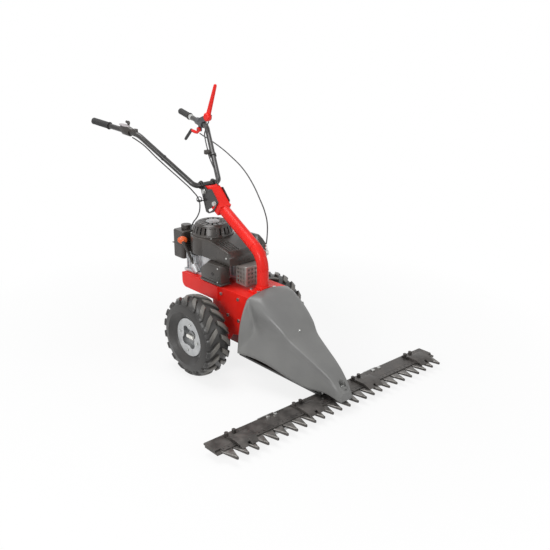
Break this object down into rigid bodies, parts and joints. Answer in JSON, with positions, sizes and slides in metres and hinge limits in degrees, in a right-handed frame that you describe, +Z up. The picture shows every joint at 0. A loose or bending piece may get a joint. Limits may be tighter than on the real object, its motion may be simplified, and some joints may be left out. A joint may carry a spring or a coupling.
{
  "type": "sickle bar mower",
  "caption": "Walk-behind sickle bar mower: engine over two driven wheels, grey nose cover, toothed cutter bar in front and a tilting handlebar on a bent column.",
  "frame": {"origin": "on the ground under the middle of the whole machine", "axes": "+Z up, +Y backwards to the handlebar's grips, +X to the machine's left"},
  "size_m": [1.3092, 1.554, 1.2643],
  "materials": {
    "red_paint": "gloss",
    "grey_moulding": "satin",
    "black_moulding": "satin",
    "orange_moulding": "gloss",
    "white_moulding": "satin",
    "black_paint": "gloss",
    "silver_paint": "satin",
    "zinc_steel": "satin",
    "dark_steel": "satin",
    "worn_steel": "satin",
    "cast_aluminium": "matte",
    "sheet_steel": "matte",
    "cast_case": "matte",
    "bronze": "satin",
    "tyre_rubber": "matte",
    "grip_rubber": "matte",
    "belt_rubber": "matte"
  },
  "bodies": {
    "chassis": {"engine_deck": "red_paint", "steering_column": "red_paint", "gearbox_case": "cast_case", "gearbox_cover": "cast_case", "drive_bearings": "zinc_steel", "crankcase": "cast_aluminium", "cylinder": "cast_aluminium", "valve_cover": "cast_aluminium", "blower_housing": "black_moulding", "recoil_cover": "black_moulding", "fuel_tank": "black_moulding", "oil_filler_tube": "black_moulding", "air_filter_box": "black_moulding", "carburettor": "cast_aluminium", "muffler": "sheet_steel", "muffler_guard": "sheet_steel", "spark_plug_cap": "grip_rubber", "drive_belt": "belt_rubber", "bar_carrier": "black_paint", "nose_cover": "grey_moulding", "finger_bar": "dark_steel", "back_plate": "dark_steel", "knife_clips": "dark_steel", "skid_shoes": "worn_steel", "machine_bolts": "zinc_steel", "throttle_cable": "belt_rubber", "drive_cable": "belt_rubber", "blade_cable": "belt_rubber"},
    "crank": {"crankshaft": "zinc_steel", "flywheel_fan": "cast_aluminium", "engine_pulley": "worn_steel"},
    "gear_input": {"worm_shaft": "zinc_steel", "input_pulley": "worn_steel"},
    "axle": {"axle_shaft": "zinc_steel", "worm_wheel": "bronze", "tyre_left": "tyre_rubber", "tyre_right": "tyre_rubber", "rim_left": "silver_paint", "rim_right": "silver_paint", "wheel_hubs": "worn_steel", "wheel_bolts": "zinc_steel"},
    "left_lock": {"hub_lock_left": "white_moulding"},
    "right_lock": {"hub_lock_right": "white_moulding"},
    "idler": {"idler_arm": "zinc_steel"},
    "idler_wheel": {"idler_pulley": "worn_steel"},
    "knife": {"knife": "dark_steel", "knife_head": "dark_steel"},
    "rocker": {"rocker_arm": "dark_steel"},
    "handlebar": {"handlebar_bracket": "black_paint", "handlebar_tube": "black_paint", "tube_clamps": "black_paint", "handle_grips": "grip_rubber", "throttle_body": "black_moulding", "lever_block": "black_moulding"},
    "throttle": {"throttle_lever": "black_moulding"},
    "blade_control": {"blade_lever": "red_paint"},
    "drive_control": {"drive_lever": "black_paint"},
    "starter": {"starter_handle": "black_moulding"},
    "tank_cap": {"fuel_cap": "black_moulding"},
    "dipstick": {"oil_dipstick": "orange_moulding"}
  },
  "joints": [
    {"name": "crank_turn", "type": "hinge", "parent": "chassis", "child": "crank", "pos_m": [0, 0.161, 0.4], "axis": [0, 0, 1], "continuous": true},
    {"name": "axle_turn", "type": "hinge", "parent": "chassis", "child": "axle", "pos_m": [0, -0.035, 0.1905], "axis": [1, 0, 0], "continuous": true},
    {"name": "gear_input_turn", "type": "hinge", "parent": "chassis", "child": "gear_input", "pos_m": [0, -0.09256, 0.1905], "axis": [0, 0, 1], "continuous": true},
    {"name": "left_lock_pull", "type": "slide", "parent": "axle", "child": "left_lock", "axis": [1, 0, 0], "range_m": [0, 0.012]},
    {"name": "right_lock_pull", "type": "slide", "parent": "axle", "child": "right_lock", "axis": [-1, 0, 0], "range_m": [0, 0.012]},
    {"name": "blade_lever_swing", "type": "hinge", "parent": "handlebar", "child": "blade_control", "pos_m": [0.19, 0.433, 1.098], "axis": [1, 0, 0], "range_deg": [-50, 0]},
    {"name": "idler_swing", "type": "hinge", "parent": "chassis", "child": "idler", "pos_m": [-0.06886, 0.115, 0.38], "axis": [0, 0, 1], "range_deg": [0, 2.8]},
    {"name": "idler_wheel_turn", "type": "hinge", "parent": "idler", "child": "idler_wheel", "pos_m": [-0.06886, 0.045, 0.362], "axis": [0, 0, 1], "continuous": true},
    {"name": "knife_slide", "type": "slide", "parent": "chassis", "child": "knife", "axis": [1, 0, 0], "range_m": [-0.0254, 0.0254]},
    {"name": "rocker_swing", "type": "hinge", "parent": "chassis", "child": "rocker", "pos_m": [0, -0.15256, 0.082], "axis": [0, 0, 1], "range_deg": [-2.75, 2.75]},
    {"name": "handlebar_tilt", "type": "hinge", "parent": "chassis", "child": "handlebar", "pos_m": [0, 0.173, 0.797], "axis": [1, 0, 0], "range_deg": [-35, 0], "deforming": ["throttle_cable", "drive_cable", "blade_cable"]},
    {"name": "throttle_swing", "type": "hinge", "parent": "handlebar", "child": "throttle", "pos_m": [-0.21621, 0.53512, 1.09675], "axis": [1, 0, 0], "range_deg": [-20, 20]},
    {"name": "drive_lever_squeeze", "type": "hinge", "parent": "handlebar", "child": "drive_control", "pos_m": [0.21, 0.542, 1.02], "axis": [1, 0, 0], "range_deg": [0, 30], "stiffness_Nm_per_rad": 3, "springref_deg": -11.46},
    {"name": "starter_pull", "type": "slide", "parent": "chassis", "child": "starter", "axis": [0, 1, 0], "range_m": [0, 0.13], "stiffness_N_per_m": 60, "springref_m": -0.05},
    {"name": "tank_cap_turn", "type": "hinge", "parent": "chassis", "child": "tank_cap", "pos_m": [-0.05, 0.3143, 0.595], "axis": [0, 0, 1], "range_deg": [0, 120]},
    {"name": "dipstick_pull", "type": "slide", "parent": "chassis", "child": "dipstick", "axis": [-0.1683, 0.4375, 0.8834], "range_m": [0, 0.09]}
  ],
  "couplings": [
    {"joint": "gear_input_turn", "follows": "axle_turn", "ratio": 28},
    {"joint": "rocker_swing", "follows": "knife_slide", "rad_per_m": 1.8782},
    {"joint": "idler_swing", "follows": "blade_lever_swing", "ratio": -0.056}
  ]
}
